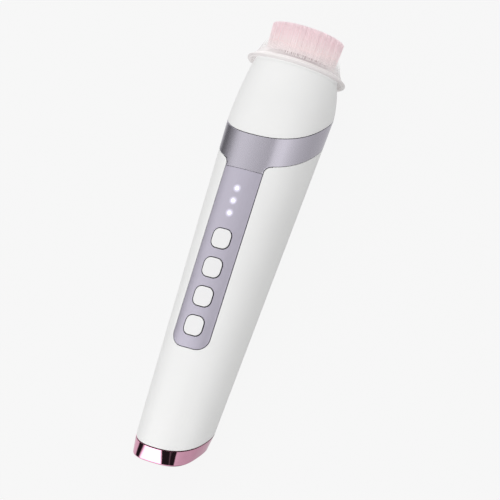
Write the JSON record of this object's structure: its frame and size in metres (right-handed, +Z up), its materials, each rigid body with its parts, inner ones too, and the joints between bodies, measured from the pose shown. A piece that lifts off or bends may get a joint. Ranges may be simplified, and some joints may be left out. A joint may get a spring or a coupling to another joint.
{
  "type": "facial cleansing brush",
  "caption": "Handheld powered cleansing brush: tapered white handle, slanted metallic collar with control strip and keys, frosted cup and round brush of fine bristles.",
  "frame": {"origin": "middle of the base of the bounding box, on the surface the handle lies on", "axes": "+Z up and out of the key side, +Y along the handle towards the brush, +X across to the right"},
  "size_m": [0.0436, 0.1974, 0.0436],
  "materials": {
    "shell_white": "satin pearl white moulding",
    "key_white": "satin white moulding",
    "collar_lilac": "lilac anodised, satin",
    "panel_lilac": "lilac anodised, fine satin",
    "foam_black": "closed-cell foam",
    "light_clear": "clear moulded light guide",
    "rose_gold": "rose-gold plating, polished",
    "seal_rubber": "moulded silicone",
    "inner_grey": "moulded, unpainted",
    "copper": "enamelled copper winding",
    "ferrite": "sintered, matt",
    "board_green": "solder mask",
    "fastener_steel": "zinc plated",
    "chip_black": "moulded epoxy",
    "switch_steel": "pressed cover",
    "led_white": "moulded package",
    "cell_sleeve": "shrink sleeve",
    "nickel": "nickel plated",
    "lead_red": "insulated wire",
    "can_steel": "nickel-plated can",
    "shaft_steel": "ground",
    "gear_brass": "machined",
    "plate_steel": "pressed sheet",
    "gear_acetal": "natural acetal",
    "frosted_cup": "frosted translucent",
    "hub_rose": "moulded, dusky rose",
    "bristle_pink": "fine nylon filaments"
  },
  "bodies": {
    "handle": {"handle_shell": "shell_white", "neck_shell": "shell_white", "collar_band": "collar_lilac", "control_panel": "panel_lilac", "panel_gasket": "foam_black", "light_guides": "light_clear", "base_cap": "rose_gold", "base_seal": "seal_rubber", "base_bulkhead": "inner_grey", "charge_coil": "copper", "coil_ferrite": "ferrite", "main_board": "board_green", "board_screws": "fastener_steel", "board_components": "chip_black", "tact_switches": "switch_steel", "status_leds": "led_white", "chassis": "inner_grey", "battery_cell": "cell_sleeve", "battery_contact_upper": "nickel", "battery_contact_lower": "nickel", "battery_strap": "seal_rubber", "battery_leads": "lead_red", "motor_leads": "lead_red", "motor_can": "can_steel", "motor_end_bell": "chip_black", "gearbox_lower_plate": "plate_steel", "gearbox_wall": "inner_grey", "gearbox_upper_plate": "plate_steel", "gearbox_screws": "fastener_steel", "idler_pin": "shaft_steel", "spindle_bush_lower": "gear_brass", "spindle_bush_upper": "gear_brass", "head_deck": "inner_grey", "shaft_seal": "seal_rubber", "splash_skirt": "frosted_cup"},
    "spindle": {"spindle_shaft": "shaft_steel", "output_gear": "gear_acetal", "retaining_ring": "fastener_steel"},
    "motor_rotor": {"motor_shaft": "shaft_steel", "motor_pinion": "gear_brass"},
    "idler": {"compound_gear": "gear_acetal"},
    "brush": {"brush_hub": "hub_rose", "tuft_plate": "hub_rose", "bristle_field": "bristle_pink"},
    "button_1_key": {"button_1": "key_white"},
    "button_2_key": {"button_2": "key_white"},
    "button_3_key": {"button_3": "key_white"},
    "button_4_key": {"button_4": "key_white"}
  },
  "joints": [
    {"name": "brush_spin", "type": "hinge", "parent": "handle", "child": "spindle", "pos_m": [0, 0.06152, 0.02088], "axis": [0, 0.9988, 0.05], "continuous": true},
    {"name": "idler_spin", "type": "hinge", "parent": "handle", "child": "idler", "pos_m": [0.0084, 0.03755, 0.01968], "axis": [0, 0.9988, 0.05], "continuous": true},
    {"name": "motor_spin", "type": "hinge", "parent": "handle", "child": "motor_rotor", "pos_m": [0, 0.03156, 0.01938], "axis": [0, 0.9988, 0.05], "continuous": true},
    {"name": "head_release", "type": "slide", "parent": "spindle", "child": "brush", "axis": [0, 0.9988, 0.05], "range_m": [0, 0.014]},
    {"name": "button_1_press", "type": "slide", "parent": "handle", "child": "button_1_key", "axis": [0, 0.05, -0.9988], "range_m": [0, 0.0006], "stiffness_N_per_m": 400},
    {"name": "button_2_press", "type": "slide", "parent": "handle", "child": "button_2_key", "axis": [0, 0.05, -0.9988], "range_m": [0, 0.0006], "stiffness_N_per_m": 400},
    {"name": "button_3_press", "type": "slide", "parent": "handle", "child": "button_3_key", "axis": [0, 0.05, -0.9988], "range_m": [0, 0.0006], "stiffness_N_per_m": 400},
    {"name": "button_4_press", "type": "slide", "parent": "handle", "child": "button_4_key", "axis": [0, 0.05, -0.9988], "range_m": [0, 0.0006], "stiffness_N_per_m": 400}
  ],
  "couplings": [
    {"joint": "idler_spin", "follows": "brush_spin", "ratio": -2.5},
    {"joint": "motor_spin", "follows": "brush_spin", "ratio": 6.25}
  ]
}
